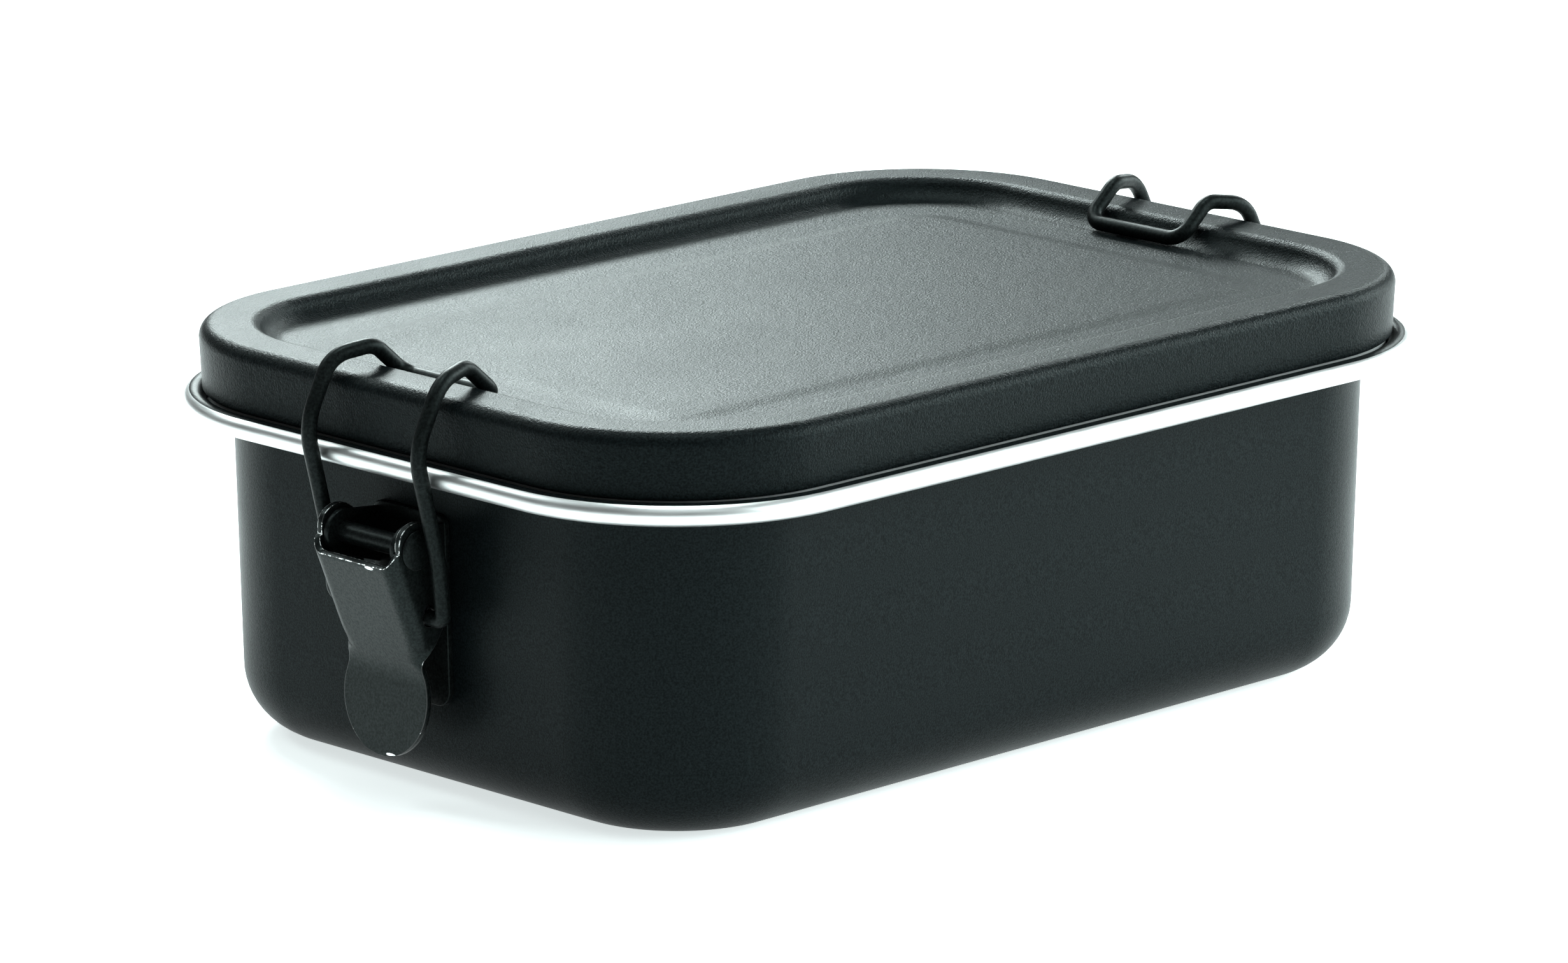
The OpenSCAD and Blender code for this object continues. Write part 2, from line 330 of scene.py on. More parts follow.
class Nodes:
    """A material, and short ways to add nodes to its tree."""

    def __init__(self, name):
        self.material = bpy.data.materials.new(name)
        self.material.use_nodes = True
        self.tree = self.material.node_tree
        self.shader = self.tree.nodes["Principled BSDF"]
        self.place = self.add("ShaderNodeTexCoord").outputs["Object"]

    def add(self, kind, **values):
        """A new node, with its settings."""
        node = self.tree.nodes.new(kind)
        for key, value in values.items():
            setattr(node, key, value)
        return node

    def link(self, source, target):
        self.tree.links.new(source, target)

    def noise(self, size_mm, detail=2.0, roughness=0.5, stretch=None):
        """Noise with features of about size_mm."""
        node = self.add("ShaderNodeTexNoise")
        node.inputs["Scale"].default_value = 1 / (size_mm * MM)
        node.inputs["Detail"].default_value = detail
        node.inputs["Roughness"].default_value = roughness
        source = self.place
        if stretch:
            mapping = self.add("ShaderNodeMapping")
            mapping.inputs["Scale"].default_value = stretch
            self.link(self.place, mapping.inputs["Vector"])
            source = mapping.outputs["Vector"]
        self.link(source, node.inputs["Vector"])
        return node.outputs["Fac"]

    def ramp(self, source, low, high, low_value, high_value):
        """Maps a value from one range to another, clamped."""
        node = self.add("ShaderNodeMapRange", clamp=True)
        node.inputs["From Min"].default_value = low
        node.inputs["From Max"].default_value = high
        node.inputs["To Min"].default_value = low_value
        node.inputs["To Max"].default_value = high_value
        self.link(source, node.inputs["Value"])
        return node.outputs["Result"]

    def math(self, operation, a, b):
        """An operation on two values, each a number or a socket."""
        node = self.add("ShaderNodeMath", operation=operation)
        for socket, value in enumerate((a, b)):
            if isinstance(value, (int, float)):
                node.inputs[socket].default_value = value
            else:
                self.link(value, node.inputs[socket])
        return node.outputs[0]

    def axis(self, name):
        """One coordinate of the place being shaded, in metres."""
        node = self.add("ShaderNodeSeparateXYZ")
        self.link(self.place, node.inputs[0])
        return node.outputs[name]

    def chipped(self, chips, wobble):
        """1 inside ragged oval chips at the left end, (y, z, half width, half height) in mm."""
        total = 0.0
        for y, z, half_width, half_height in chips:
            square = 0.0
            for name, centre, half in (("Y", y, half_width), ("Z", z, half_height)):
                offset = self.math("SUBTRACT", self.axis(name), centre * MM)
                share = self.math("MULTIPLY", offset, 1 / (half * MM))
                square = self.math("ADD", square, self.math("MULTIPLY", share, share))
            inside = self.ramp(self.math("ADD", square, wobble), *CHIP_EDGE, 1.0, 0.0)
            total = self.math("ADD", inside, total)
        left_end = self.math("LESS_THAN", self.axis("X"), 0.0)
        return self.math("MULTIPLY", total, left_end)

    def mix_colour(self, factor, a, b):
        """Colour a at factor 0 and colour b at factor 1, each a tuple or a socket."""
        node = self.add("ShaderNodeMix", data_type="RGBA")
        for socket, value in (("A", a), ("B", b)):
            target = [s for s in node.inputs if s.name == socket and s.type == "RGBA"][0]
            if isinstance(value, tuple):
                target.default_value = (*value, 1)
            else:
                self.link(value, target)
        self.link(factor, node.inputs[0])
        return [s for s in node.outputs if s.type == "RGBA"][0]

    def bump(self, height, depth_mm, under=None):
        """A normal from a height map, on top of another normal if one is given."""
        node = self.add("ShaderNodeBump")
        node.inputs["Distance"].default_value = depth_mm * MM
        node.inputs["Strength"].default_value = 1.0
        self.link(height, node.inputs["Height"])
        if under:
            self.link(under, node.inputs["Normal"])
        return node.outputs["Normal"]


def powder_coat(name, shade, roughness, grain_mm, depth_mm, ior=1.15, chips=()):
    """Textured black coat with a fine, sparkling grain. Its low IOR keeps it dark over a white floor."""
    n = Nodes(name)
    fine = n.noise(grain_mm, detail=2.0, roughness=0.6)
    soft = n.noise(grain_mm * 3.5, detail=1.0)
    broad = n.noise(18.0, detail=2.0)
    sparkle = n.ramp(fine, *GRAIN_RANGE, 0.0, 1.0)
    colour = n.mix_colour(sparkle, tuple(c * 0.5 for c in shade), tuple(c * 1.5 for c in shade))
    n.shader.inputs["IOR"].default_value = ior
    n.shader.inputs["Specular Tint"].default_value = COAT_TINT
    n.link(n.ramp(fine, *GRAIN_RANGE, 0.4, 0.6), n.shader.inputs["Specular IOR Level"])
    n.link(n.ramp(broad, *WIDE_RANGE, roughness - 0.03, roughness + 0.03), n.shader.inputs["Roughness"])
    if chips:
        bare = n.chipped(chips, fine)
        colour = n.mix_colour(bare, colour, CHIP_TONE)
        n.link(bare, n.shader.inputs["Metallic"])
    n.link(colour, n.shader.inputs["Base Color"])
    normal = n.bump(soft, depth_mm * 0.5)
    normal = n.bump(fine, depth_mm, under=normal)
    n.link(normal, n.shader.inputs["Normal"])
    return n.material


def wear_and_edge_highlight(name, low_z, high_z):
    """Coat rubbed through to steel in broken lines, also standing for a painted highlight: seldom below
    low_z, mostly above high_z (mm), where the light catches the top edges.
    """
    n = Nodes(name)
    wear = n.noise(0.9, detail=3.0, roughness=0.65)
    # Less noise is needed higher up, so the top edges turn to bare steel more often: wear, and a painted
    # highlight where the light catches them
    need = n.ramp(n.axis("Z"), low_z * MM, high_z * MM, *WEAR_AND_HIGHLIGHT_NEED)
    bare = n.ramp(n.math("SUBTRACT", wear, need), -0.01, 0.02, 0.0, 1.0)
    # The coat between is a little lighter than the clip's coat, a faint painted highlight along the edges
    n.link(n.mix_colour(bare, (0.012, 0.013, 0.013), CHIP_TONE), n.shader.inputs["Base Color"])
    n.link(bare, n.shader.inputs["Metallic"])
    n.shader.inputs["Roughness"].default_value = 0.4
    n.link(n.bump(wear, 0.02), n.shader.inputs["Normal"])
    return n.material


def bare_steel(name, shade, roughness, line_depth_mm):
    """Satin stainless steel with faint drawing lines and stains."""
    n = Nodes(name)
    lines = n.noise(0.25, detail=3.0, roughness=0.6, stretch=(0.06, 0.06, 1.0))
    stain = n.noise(9.0, detail=3.0)
    tone = n.mix_colour(n.ramp(stain, 0.35, 0.7, 0.0, 1.0), shade, tuple(c * 0.9 for c in shade))
    n.link(tone, n.shader.inputs["Base Color"])
    n.shader.inputs["Metallic"].default_value = 1.0
    n.link(n.ramp(lines, *WIDE_RANGE, roughness - 0.04, roughness + 0.04), n.shader.inputs["Roughness"])
    n.link(n.bump(lines, line_depth_mm), n.shader.inputs["Normal"])
    return n.material


def silicone(name):
    """Matte grey silicone rubber."""
    n = Nodes(name)
    broad = n.noise(6.0)
    n.link(n.mix_colour(broad, (0.52, 0.54, 0.54), (0.6, 0.62, 0.62)), n.shader.inputs["Base Color"])
    n.shader.inputs["Roughness"].default_value = 0.6
    n.link(n.bump(n.noise(0.3), 0.01), n.shader.inputs["Normal"])
    return n.material


LID_COAT = powder_coat("black_powder_coat", BOX_SHADE, roughness=0.37, grain_mm=0.3, depth_mm=0.11)
BODY_COAT = powder_coat("smooth_body_coat", BOX_SHADE, roughness=0.37, grain_mm=0.26, depth_mm=0.035)
CLIP_COAT = powder_coat("clip_coat", CLIP_SHADE, roughness=0.36, grain_mm=0.35, depth_mm=0.02, ior=1.18)
LEVER_COAT = powder_coat("lever_coat", CLIP_SHADE, roughness=0.34, grain_mm=0.35, depth_mm=0.02, ior=1.24,
                         chips=LEVER_CHIPS)
WIRE_COAT = powder_coat("wire_coat", CLIP_SHADE, roughness=0.4, grain_mm=0.4, depth_mm=0.012, ior=1.18)
# Bare steel along the lever's edges, mostly the top ones: wear, and a painted highlight where the light
# catches them
LEVER_EDGE = wear_and_edge_highlight("clip_edge_wear_and_highlight", low_z=PIVOT_Z - 6, high_z=PIVOT_Z - 3)
RIM_STEEL = bare_steel("rim_steel", (0.8, 0.82, 0.82), roughness=0.38, line_depth_mm=0.003)
INNER_STEEL = bare_steel("inner_steel", (0.82, 0.83, 0.83), roughness=0.3, line_depth_mm=0.004)
SILICONE = silicone("grey_silicone")


# ---------------------------------------------------------------- tray, rim, lid and seal


def build_tray():
    """One deep pressing: coated outside and over the flange, bare steel inside."""
    fillet = (WALL_R_BASE - BASE_FILLET, BASE_FILLET)
    coated = arc(*fillet, BASE_FILLET, -90, 0, 14)
    coated += line((WALL_R_BASE, BASE_FILLET), (WALL_R_TOP, FLANGE_UNDER - NECK_R), 8)
    coated += arc(WALL_R_TOP + NECK_R, FLANGE_UNDER - NECK_R, NECK_R, 180, 90, 6)
    coated += [(BEAD_PATH_R, FLANGE_UNDER), (BEAD_PATH_R, FLANGE_TOP)]
    mouth = arc(WALL_R_TOP - SHEET + MOUTH_R, FLANGE_TOP - MOUTH_R, MOUTH_R, 90, 180, 8)
    coated += mouth[:3]
    bare = mouth[3:]
    bare += line((WALL_R_TOP - SHEET, FLANGE_TOP - MOUTH_R), (WALL_R_BASE - SHEET, BASE_FILLET), 8)
    bare += arc(*fillet, BASE_FILLET - SHEET, 0, -90, 12)
    bands = [0] * (len(coated) - 1) + [1] * len(bare)
    tray = sweep("tray_shell", coated + bare, [BODY_COAT, INNER_STEEL], bands, middle_rise=0.0)
    finish_piece(tray, "tray", "tray")


def build_rim():
    """The rolled edge: bare steel outside, with the coat ending along its top."""
    steel = arc(BEAD_PATH_R, RIM_Z, BEAD_R, -118, 61, 28)
    coat = arc(BEAD_PATH_R, RIM_Z, BEAD_R, 67, 234, 20)
    bands = [0] * (len(steel) - 1) + [1] * (len(coat) + 1)
    rim = sweep("tray_rim", steel + coat, [RIM_STEEL, BODY_COAT], bands, closed=True)
    finish_piece(rim, "tray", "tray")


def lid_profile():
    """The lid's upper surface, from the pressed panel out and down to the skirt's edge."""
    slope = math.radians(RIDGE_SLOPE)
    crest = (LID_R - RIDGE_WIDTH, LID_TOP - RIDGE_BLEND_R)
    foot = (crest[0] - RIDGE_BLEND_R * math.sin(slope), crest[1] + RIDGE_BLEND_R * math.cos(slope))
    valley_z = RECESS_TOP + VALLEY_BLEND_R
    run = (foot[1] - valley_z + VALLEY_BLEND_R * math.cos(slope)) / math.tan(slope)
    valley = (foot[0] - run - VALLEY_BLEND_R * math.sin(slope), valley_z)
    step = []
    for i in range(9):
        t = i / 8
        ease = (1 - math.cos(math.pi * t)) / 2
        step.append((PANEL_R - PANEL_STEP * (1 - t), PANEL_TOP + (RECESS_TOP - PANEL_TOP) * ease))
    points = step + arc(*valley, VALLEY_BLEND_R, -90, RIDGE_SLOPE - 90, 14)
    points += arc(*crest, RIDGE_BLEND_R, 90 + RIDGE_SLOPE, 90, 10)
    points += arc(LID_R - RIDGE_EDGE_R, LID_TOP - RIDGE_EDGE_R, RIDGE_EDGE_R, 90, 0, 14)
    points += line((LID_R, LID_TOP - RIDGE_EDGE_R), (LID_R - SKIRT_LEAN, SKIRT_BOTTOM + SHEET / 2), 4)
    return points


def offset_profile(points, distance):
    """The same line moved sideways, which gives the sheet its other face."""
    result = []
    for i, (x, z) in enumerate(points):
        ax, az = points[max(i - 1, 0)]
        bx, bz = points[min(i + 1, len(points) - 1)]
        length = math.hypot(bx - ax, bz - az)
        result.append((x + distance * (bz - az) / length, z - distance * (bx - ax) / length))
    return result


def build_lid():
    """One pressing with a raised ridge, a recess with a pressed panel, and a skirt."""
    top = lid_profile()
    hem_r = LID_R - SKIRT_LEAN - SHEET / 2
    hem = arc(hem_r, SKIRT_BOTTOM + SHEET / 2, SHEET / 2, 0, -180, 6)
    under = offset_profile(top, SHEET)[::-1]
    bands = [0] * (len(top) + 5) + [1] * (len(hem) + len(under) - 6)
    lid = sweep("lid_shell", top + hem + under, [LID_COAT, INNER_STEEL], bands, middle_rise=MIDDLE_RISE)
    finish_piece(lid, "lid", "lid")


def build_seal():
    """A moulded ring of L section, with rounded edges."""
    outer = SEAL_HIGH.x - CENTRE_X
    lip = outer - SEAL_LIP
    head = outer - SEAL_HEAD
    foot = SEAL_LOW.z
    top = SEAL_HIGH.z
    shoulder = top - SEAL_HEAD_H
    profile = []
    for x, z, r, start, end, steps in (
        (outer - SEAL_EDGE_R, foot + SEAL_EDGE_R, SEAL_EDGE_R, -90, 0, 3),
        (outer - SEAL_CHAMFER_R, top - SEAL_CHAMFER_R, SEAL_CHAMFER_R, 0, 90, 5),
        (head + SEAL_HEAD_EDGE_R, top - SEAL_HEAD_EDGE_R, SEAL_HEAD_EDGE_R, 90, 180, 3),
        (head + SEAL_HEAD_EDGE_R, shoulder + SEAL_HEAD_EDGE_R, SEAL_HEAD_EDGE_R, 180, 270, 3),
        (lip - SEAL_EDGE_R, shoulder - SEAL_EDGE_R, SEAL_EDGE_R, 90, 0, 3),
        (lip + SEAL_EDGE_R, foot + SEAL_EDGE_R, SEAL_EDGE_R, 180, 270, 3),
    ):
        profile += arc(x, z, r, start, end, steps)
    seal = sweep("lid_seal_ring", profile, [SILICONE], [0] * len(profile), closed=True)
    finish_piece(seal, "lid", "lid_seal")


# ---------------------------------------------------------------- clips, built at the right end


def smooth(low, high, x):
    """0 below low, 1 above high, with an eased rise between."""
    t = max(0.0, min(1.0, (x - low) / (high - low)))
    return t * t * (3 - 2 * t)


def spline(table, x):
    """A smooth curve through a table's points."""
    if x <= table[0][0]:
        return table[0][1]
    for i in range(len(table) - 1):
        if x <= table[i + 1][0]:
            break
    else:
        return table[-1][1]
    a = table[max(i - 1, 0)]
    b, c = table[i], table[i + 1]
    d = table[min(i + 2, len(table) - 1)]
    t = (x - b[0]) / (c[0] - b[0])
    in_slope = (c[1] - a[1]) / (c[0] - a[0]) * (c[0] - b[0])
    out_slope = (d[1] - b[1]) / (d[0] - b[0]) * (c[0] - b[0])
    return ((2 * t ** 3 - 3 * t ** 2 + 1) * b[1] + (t ** 3 - 2 * t ** 2 + t) * in_slope
            + (3 * t ** 2 - 2 * t ** 3) * c[1] + (t ** 3 - t ** 2) * out_slope)


class FaceLine:
    """The lever's face seen from the side: straight, a soft crease, straight."""

    def __init__(self):
        self.top = Vector((WEB_TOP[0], 0, WEB_TOP[1]))
        crease = Vector((WEB_CREASE[0], 0, WEB_CREASE[1]))
        end = Vector((WEB_END[0], 0, WEB_END[1]))
        self.first = (crease - self.top).normalized()
        self.second = (end - crease).normalized()
        turn = self.first.angle(self.second)
        cut = CREASE_R * math.tan(turn / 2)
        self.bend_start = (crease - self.top).length - cut
        self.bend_length = CREASE_R * turn
        self.length = self.bend_start + self.bend_length + (end - crease).length - cut

    def at(self, t):
        """The face's point and its inward direction, t down from its top."""
        angle = max(0.0, min(self.bend_length, t - self.bend_start)) / CREASE_R
        point = self.top + self.first * min(t, self.bend_start)
        inward = Vector((self.first.z, 0, -self.first.x))
        if angle > 0:
            chord = 2 * CREASE_R * math.sin(angle / 2)
            point = point + self.turned(self.first, angle / 2) * chord
            inward = self.turned(inward, angle)
        if t > self.bend_start + self.bend_length:
            point = point + self.second * (t - self.bend_start - self.bend_length)
        return point, inward

    @staticmethod
    def turned(v, angle):
        """A direction turned in the side view."""
        return Matrix.Rotation(-angle, 3, "Y") @ v


def face_half(t, length):
    """Half the width of the lever's face, t down from its top."""
    straight = LEVER_HALF + (NECK_HALF - LEVER_HALF) * smooth(*TAPER, t)
    across = TAB_R ** 2 - (t - (length - TAB_R)) ** 2
    tab = math.sqrt(max(across, 0.0))
    if t > length - TAB_R:
        return tab
    h = max(0.0, min(1.0, 0.5 + 0.5 * (tab - straight) / NECK_BLEND))
    return straight + (tab - straight) * h + NECK_BLEND * h * (1 - h)


def section_point(s, flat, fold):
    """Where the sheet is, s along it from the middle: (sideways, inwards). Its side turns by fold."""
    if s <= flat:
        return s, 0.0
    angle = min((s - flat) / BEND_R, fold)
    straight = s - flat - BEND_R * angle
    return (flat + BEND_R * math.sin(angle) + straight * math.cos(angle),
            BEND_R * (1 - math.cos(angle)) + straight * math.sin(angle))


def face_rows(length, count):
    """Distances down the face, closer together towards the tab's end."""
    shares = [k / count for k in range(count + 1)]
    rows = [length * (0.82 * u + 0.18 * math.sin(u * math.pi / 2)) for u in shares]
    rows[-1] = length - 0.002
    return rows


def add_ear(bm, top_row, side):
    """Carries one cheek's top edge up to a round ear about the pivot. top_row starts at its rear."""
    steps = 14
    cheek = []
    for v in top_row:
        if abs(v.co.y) <= LEVER_HALF - 0.02:
            break
        cheek.append(v)
    rear, front = (math.atan2(v.co.z - PIVOT_Z, v.co.x - PIVOT_X) for v in (cheek[0], cheek[-1]))
    rear += 2 * math.pi if rear < 0 else 0
    front_r = math.hypot(cheek[-1].co.z - PIVOT_Z, cheek[-1].co.x - PIVOT_X)
    top = math.radians(EAR_TOP_ANGLE)
    last = cheek
    for k in range(1, steps + 1):
        u = k / steps
        ends = []
        for start_angle, start_r in ((rear, EAR_R), (front, front_r)):
            a = start_angle + (top - start_angle) * u
            r = EAR_R + (start_r - EAR_R) * (1 - smooth(0, 0.5, u))
            ends.append(Vector((PIVOT_X + r * math.cos(a), 0, PIVOT_Z + r * math.sin(a))))
        row = []
        for i in range(len(cheek)):
            p = ends[0].lerp(ends[1], i / (len(cheek) - 1))
            row.append(bm.verts.new((p.x, side * LEVER_HALF, p.z)))
        for i in range(len(cheek) - 1):
            bm.faces.new((last[i], last[i + 1], row[i + 1], row[i]))
        last = row


def build_lever():
    """A stamped channel: two cheeks on the pin, a sloping face and a round finger tab."""
    face = FaceLine()
    columns = 34
    rows = 46
    quarter = math.pi / 2
    bm = bmesh.new()
    grid = []
    for t in face_rows(face.length, rows):
        fold = quarter * (1 - smooth(*UNFOLD, t))
        flat = max(face_half(t, face.length) - BEND_R * math.sin(fold), 0.01)
        wall = max(spline(CHEEK_BACK, t) - BEND_R, 0.0)
        bend_end = flat + BEND_R * fold
        full_bend_end = flat + BEND_R * quarter
        fade = max(0.0, 1 - t / EAR_FADE)
        row = []
        for j in range(-columns, columns + 1):
            s = abs(j) / columns * (bend_end + wall)
            y, depth = section_point(s, flat, fold)
            rear = max(0.0, (s - full_bend_end) / max(wall, 0.01))
            rise = EAR_FRONT_DROP * smooth(flat, full_bend_end, s) * fade * (1 - 0.8 * rear)
            point, inward = face.at(t - rise)
            p = point + inward * depth
            row.append(bm.verts.new((PIVOT_X + p.x, math.copysign(y, j), PIVOT_Z + p.z)))
        grid.append(row)
    for a, b in zip(grid, grid[1:]):
        for j in range(2 * columns):
            bm.faces.new((a[j], a[j + 1], b[j + 1], b[j]))
    add_ear(bm, grid[0], -1)
    add_ear(bm, grid[0][::-1], 1)
    bmesh.ops.remove_doubles(bm, verts=bm.verts, dist=1e-4)
    lever = object_from(bm, "right_lever", [LEVER_COAT, LEVER_EDGE], 60, Vector((1, 0, 0)))
    solid = lever.modifiers.new("sheet", "SOLIDIFY")
    solid.thickness = CLIP_SHEET * MM
    solid.offset = -1
    solid.use_even_offset = True
    apply_modifiers(lever)
    return lever


def cut_holes(obj, x, z, r):
    """Drills a hole across the clip, through both cheeks."""
    bm = bmesh.new()
    place = Matrix.Translation((x, 0, z)) @ Matrix.Rotation(math.pi / 2, 4, "X")
    bmesh.ops.create_cone(bm, cap_ends=True, segments=36, radius1=r, radius2=r, depth=40, matrix=place)
    drill = object_from(bm, "drill", [])
    cut = obj.modifiers.new("hole", "BOOLEAN")
    cut.object = drill
    cut.operation = "DIFFERENCE"
    cut.solver = "EXACT"
    apply_modifiers(obj)
    bpy.data.objects.remove(drill)


def bend_points(before, corner, after, r):
    """The points of one bend of radius r in a wire."""
    inward = (before - corner).normalized()
    outward = (after - corner).normalized()
    turn = math.pi - inward.angle(outward)
    steps = max(2, math.ceil(math.degrees(turn) / 6))
    middle = corner + (inward + outward).normalized() * r / math.cos(turn / 2)
    radial = (corner + r * math.tan(turn / 2) * inward - middle) / r
    return [middle + r * (radial * math.cos(turn * k / steps) - inward * math.sin(turn * k / steps))
            for k in range(steps + 1)]


def tube(name, path, r, sides, material):
    """A round wire with slightly narrowed ends along a line of points."""
    angles = [2 * math.pi * k / sides for k in range(sides)]
    bm = bmesh.new()
    rings = []
    side = Vector((0, 0, 1))
    count = len(path)
    for i, p in enumerate(path):
        tangent = (path[min(i + 1, count - 1)] - path[max(i - 1, 0)]).normalized()
        side = (side - tangent * side.dot(tangent)).normalized()
        other = tangent.cross(side)
        here_r = r * (0.8 if i in (0, count - 1) else 1.0)
        around = [math.cos(a) * side + math.sin(a) * other for a in angles]
        rings.append([bm.verts.new(p + here_r * out) for out in around])
    for a, b in zip(rings, rings[1:]):
        bridge(bm, a, b)
    bm.faces.new(rings[0])
    bm.faces.new(rings[-1])
    return object_from(bm, name, [material], 50)


def build_bail():
    """A bent wire loop from the lever's cheeks, over the lid's ridge and down into its recess."""
    leg_y = BAIL_HALF - WIRE_R
    hook_x = CENTRE_X + LID_R - RIDGE_WIDTH - HOOK_IN
    hook_y = leg_y - HOOK_NARROWER
    hook_z = RECESS_TOP + WIRE_R + HOOK_REST
    rim_x = TRAY_HIGH.x
    hole_x = PIVOT_X + HOLE[0]
    hole_z = PIVOT_Z + HOLE[1]
    end_y = LEVER_HALF - CLIP_SHEET - BAIL_END_INSIDE
    half = [Vector((hole_x, end_y, hole_z)), Vector((hole_x, leg_y, hole_z))]
    half += [Vector((rim_x + x, leg_y, RIM_Z + z)) for x, z in BAIL_LEG]
    half.append(Vector((rim_x + BAIL_SHOULDER[0], hook_y, RIM_Z + BAIL_SHOULDER[1])))
    half.append(Vector((hook_x, hook_y, hook_z)))
    corners = half + [Vector((p.x, -p.y, p.z)) for p in reversed(half)]
    radii = BAIL_BENDS + BAIL_BENDS[::-1]
    path = [corners[0], corners[0].lerp(corners[1], 0.08)]
    for before, corner, after, r in zip(corners, corners[1:], corners[2:], radii):
        path += bend_points(before, corner, after, r)
    path += [corners[-1].lerp(corners[-2], 0.08), corners[-1]]
    return tube("right_bail", path, WIRE_R, 24, WIRE_COAT)


def build_pin():
    """A rivet with a low domed head at each end."""
    shank_half = PIN_HIGH.y - PIN_HEAD_H
    rim_y = shank_half + PIN_HEAD_RIM
    dome_h = PIN_HEAD_H - PIN_HEAD_RIM
    profile = [(PIN_R, 0.0), (PIN_R, shank_half)]
    profile += [(PIN_HEAD_R * 0.97, shank_half), (PIN_HEAD_R, shank_half + PIN_HEAD_STEP)]
    profile += [(PIN_HEAD_R * c, rim_y + dome_h * s) for c, s in arc(0, 0, 1, 0, 90, 7)[:-1]]
    sides = 40
    angles = [2 * math.pi * k / sides for k in range(sides)]
    bm = bmesh.new()
    for side in (-1, 1):
        rings = []
        for r, y in profile:
            places = [(PIVOT_X + r * math.cos(a), side * y, PIVOT_Z + r * math.sin(a)) for a in angles]
            rings.append([bm.verts.new(place) for place in places])
        for a, b in zip(rings, rings[1:]):
            bridge(bm, a, b)
        bm.faces.new(rings[-1])
    bmesh.ops.remove_doubles(bm, verts=bm.verts, dist=1e-4)
    return object_from(bm, "right_pin", [CLIP_COAT], 45)


def prism(bm, points, to_space, thickness):
    """Extrudes a flat outline; to_space maps (u, v, depth) to a place."""
    front = [bm.verts.new(to_space(u, v, 0)) for u, v in points]
    back = [bm.verts.new(to_space(u, v, thickness)) for u, v in points]
    n = len(points)
    for i in range(n):
        bm.faces.new((front[i], front[(i + 1) % n], back[(i + 1) % n], back[i]))
    bm.faces.new(front)
    bm.faces.new(back[::-1])


def build_bracket():
    """A plate on the end wall, with two ears for the pin."""
    lean = math.atan((WALL_R_TOP - WALL_R_BASE) / (FLANGE_UNDER - NECK_R - BASE_FILLET))
    wall_x = CENTRE_X + WALL_R_BASE + (PLATE_FOOT_Z - BASE_FILLET) * math.tan(lean)
    foot_x = wall_x + PLATE_GAP
    half = BRACKET_HALF
    height = (PLATE_TOP_Z - PLATE_FOOT_Z) / math.cos(lean) - PLATE_GAP
    foot_y = half - PLATE_FOOT_R
    top_y = half - PLATE_TOP_R
    plate = arc(-foot_y, PLATE_FOOT_R, PLATE_FOOT_R, 180, 270, 8)
    plate += arc(foot_y, PLATE_FOOT_R, PLATE_FOOT_R, -90, 0, 8)
    plate += arc(top_y, height - PLATE_TOP_R, PLATE_TOP_R, 0, 90, 6)
    plate += arc(-top_y, height - PLATE_TOP_R, PLATE_TOP_R, 90, 180, 6)

    def on_plate(u, v, depth):
        x = foot_x + v * math.sin(lean) + depth * math.cos(lean)
        return x, u, PLATE_FOOT_Z + v * math.cos(lean) - depth * math.sin(lean)

    bm = bmesh.new()
    prism(bm, plate, on_plate, CLIP_SHEET)
    root_x = foot_x + CLIP_SHEET
    ear = [(root_x, PIVOT_Z - BRACKET_EAR_DROP)]
    ear += arc(PIVOT_X, PIVOT_Z, BRACKET_EAR_R, *BRACKET_EAR_ARC, 26)
    ear += [(root_x, PIVOT_Z + BRACKET_EAR_RISE)]
    for side in (-1, 1):
        outer = side * (half - BRACKET_EAR_INSET)
        prism(bm, ear, lambda u, v, depth: (u, outer - side * depth, v), CLIP_SHEET)
    bracket = object_from(bm, "right_bracket", [CLIP_COAT], 40)
    add_bevel(bracket, BRACKET_BEVEL, 3, 40)
    apply_modifiers(bracket)
    return bracket


def build_clips():
    """Both clips: the right one's pieces and their mirror images."""
    lever = build_lever()
    cut_holes(lever, PIVOT_X + HOLE[0], PIVOT_Z + HOLE[1], HOLE_R)
    cut_holes(lever, PIVOT_X, PIVOT_Z, PIN_R)
    # The bevel faces take the edge material: bare steel in broken lines, partly wear and partly a painted
    # highlight on the top edges
    add_bevel(lever, LEVER_BEVEL, 2, 50, material=1)
    apply_modifiers(lever)
    pieces = (
        (build_bracket(), "bracket", "tray", "clip_coat"),
        (build_pin(), "pin", "tray", "clip_coat"),
        (lever, "lever", "lever_{}", "clip_coat"),
        (build_bail(), "bail", "bail_{}", "wire_coat"),
    )
    for right, kind, body, slot in pieces:
        left = mirrored(right, f"left_{kind}")
        for obj, end in ((right, "right"), (left, "left")):
            finish_piece(obj, body.format(end), f"latch_{kind}_{end}")


# ---------------------------------------------------------------- camera, floor and lights


# The camera looks at a point near the box's middle: angles in degrees, the rest in metres
CAMERA_AZIMUTH = -44.833
CAMERA_ELEVATION = 14.144
CAMERA_DISTANCE = 1.2491
AIM_HEIGHT = 0.0275
AIM_LEFT = 0.00299
AIM_UP = 0.003456
LENS_MM = 201.48
SENSOR_MM = 36

FLOOR_REACH_MM = 4000
LIGHT_COLOUR = (0.88, 1.0, 0.99)
LIGHTS_AIM = Vector((0, 0, 0.05))


def direction(azimuth, elevation):
    """The direction out from the box, with angles in degrees."""
    a = math.radians(azimuth)
    e = math.radians(elevation)
    return Vector((math.sin(a) * math.cos(e), -math.cos(a) * math.cos(e), math.sin(e)))


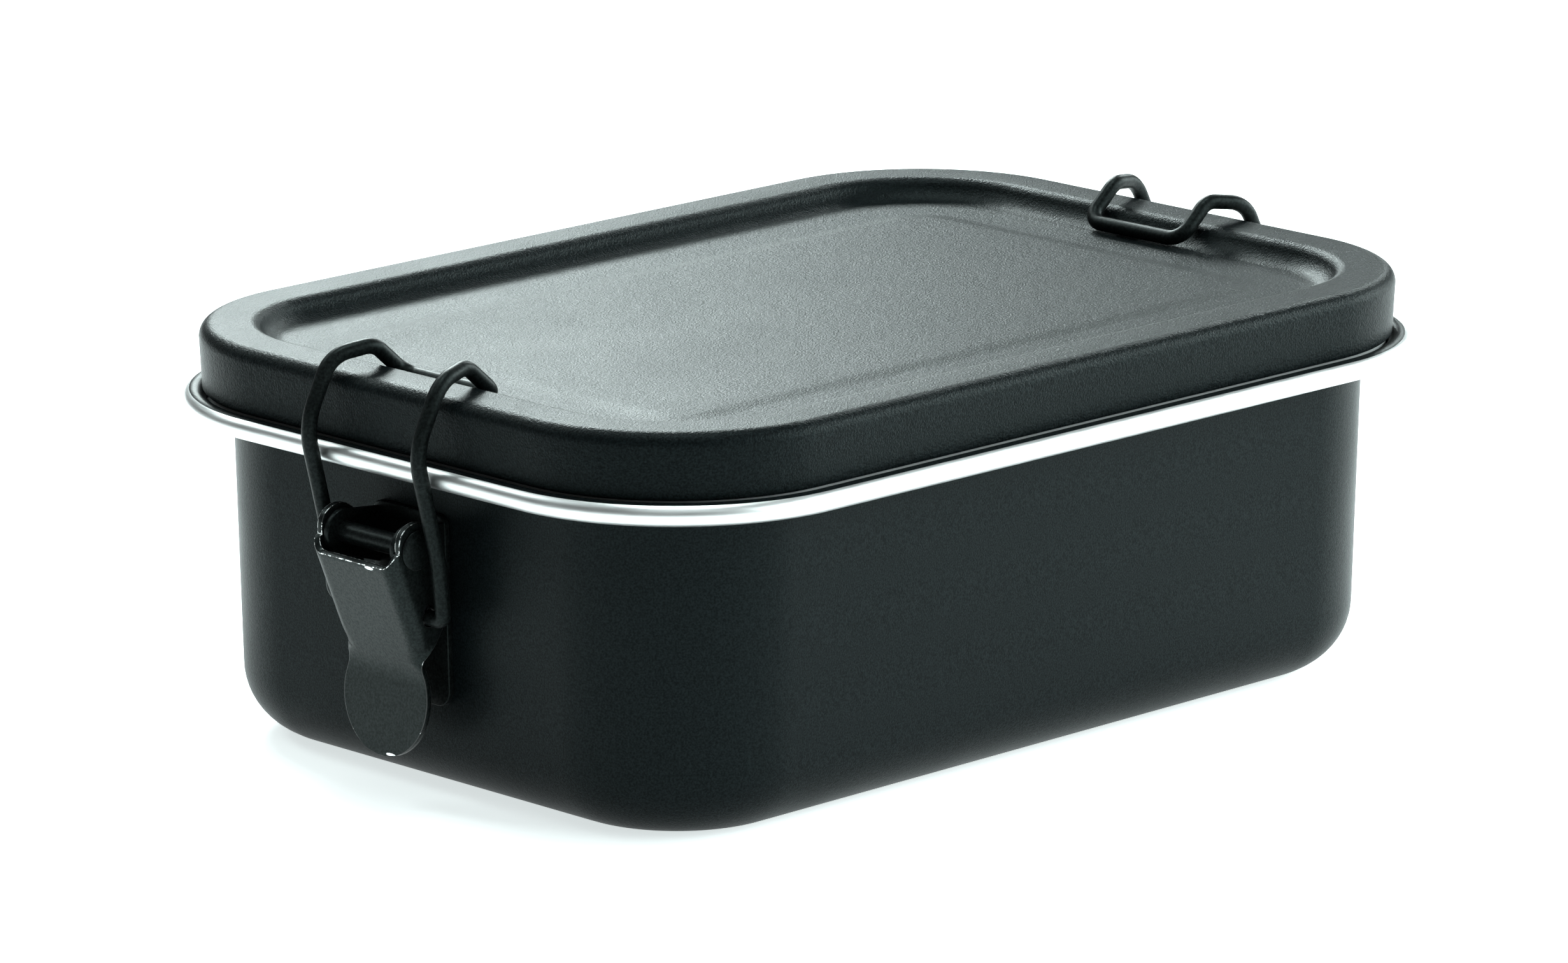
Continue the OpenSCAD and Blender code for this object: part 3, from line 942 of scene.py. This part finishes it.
def build_camera():
    """A long lens from the front left, slightly above the lid."""
    back = direction(CAMERA_AZIMUTH, CAMERA_ELEVATION)
    azimuth = math.radians(CAMERA_AZIMUTH)
    across = Vector((math.cos(azimuth), math.sin(azimuth), 0))
    aim = Vector((0, 0, AIM_HEIGHT)) - across * AIM_LEFT + back.cross(across) * AIM_UP
    data = bpy.data.cameras.new("camera")
    data.sensor_width = SENSOR_MM
    data.lens = LENS_MM
    data.clip_end = 20
    camera = link_object("camera", data)
    camera.location = aim + back * CAMERA_DISTANCE
    camera.rotation_euler = (-back).to_track_quat("-Z", "Y").to_euler()
    bpy.context.scene.camera = camera


def build_floor():
    """A plain pale floor, with a little light of its own to keep it white."""
    bm = bmesh.new()
    bmesh.ops.create_grid(bm, x_segments=1, y_segments=1, size=FLOOR_REACH_MM)
    n = Nodes("pale_floor")
    n.shader.inputs["Base Color"].default_value = (0.9, 0.92, 0.92, 1)
    n.shader.inputs["Roughness"].default_value = 0.9
    n.shader.inputs["Specular IOR Level"].default_value = 0.1
    n.shader.inputs["Emission Color"].default_value = (0.93, 1, 1, 1)
    n.shader.inputs["Emission Strength"].default_value = 0.7
    object_from(bm, "floor", [n.material])


def panel(name, azimuth, elevation, distance, width, height, power, spread=180):
    """A soft rectangular light that faces the box, placed by its direction; spread narrows it."""
    out = direction(azimuth, elevation)
    data = bpy.data.lights.new(name, "AREA")
    data.shape = "RECTANGLE"
    data.size = width
    data.size_y = height
    data.energy = power
    data.color = LIGHT_COLOUR
    data.spread = math.radians(spread)
    light = link_object(name, data)
    light.location = LIGHTS_AIM + out * distance
    light.rotation_euler = out.to_track_quat("Z", "Y").to_euler()


def build_studio():
    """Soft panels: a narrow beam overhead, wide ones at the sides, small ones behind for the lid."""
    world = bpy.data.worlds.new("studio")
    world.use_nodes = True
    background = world.node_tree.nodes["Background"]
    background.inputs["Color"].default_value = (1, 1, 1, 1)
    background.inputs["Strength"].default_value = 0.1
    bpy.context.scene.world = world
    # name, azimuth, elevation, distance, width, height, power, and the beam's spread
    panel("overhead", 135, 87, 1.3, 0.3, 1.1, 1.0, 34)
    panel("long_side", 15, 20, 1.2, 0.55, 0.8, 6)
    panel("long_side_right", 45, 20, 1.2, 0.55, 0.8, 12)
    panel("right_end", 78, 13, 1.2, 0.55, 0.5, 9)
    panel("left_high", 225, 48, 1.3, 0.9, 0.7, 1.0)
    panel("behind_left", 140, 26, 0.8, 0.14, 0.2, 2.7)
    panel("behind_right", 115, 22, 0.8, 0.12, 0.16, 1.3)
    panel("behind", 150, 26, 0.8, 0.14, 0.2, 3.2)
    panel("behind_high", 170, 42, 0.8, 0.14, 0.2, 1.6)
    panel("recess_end", 205, 40, 1.0, 0.3, 0.3, 1.6)
    panel("front_high", 315, 48, 1.3, 0.9, 0.7, 1.4)
    bpy.context.scene.view_settings.view_transform = "Standard"


build_camera()
build_tray()
build_rim()
build_lid()
build_seal()
build_clips()
build_floor()
build_studio()
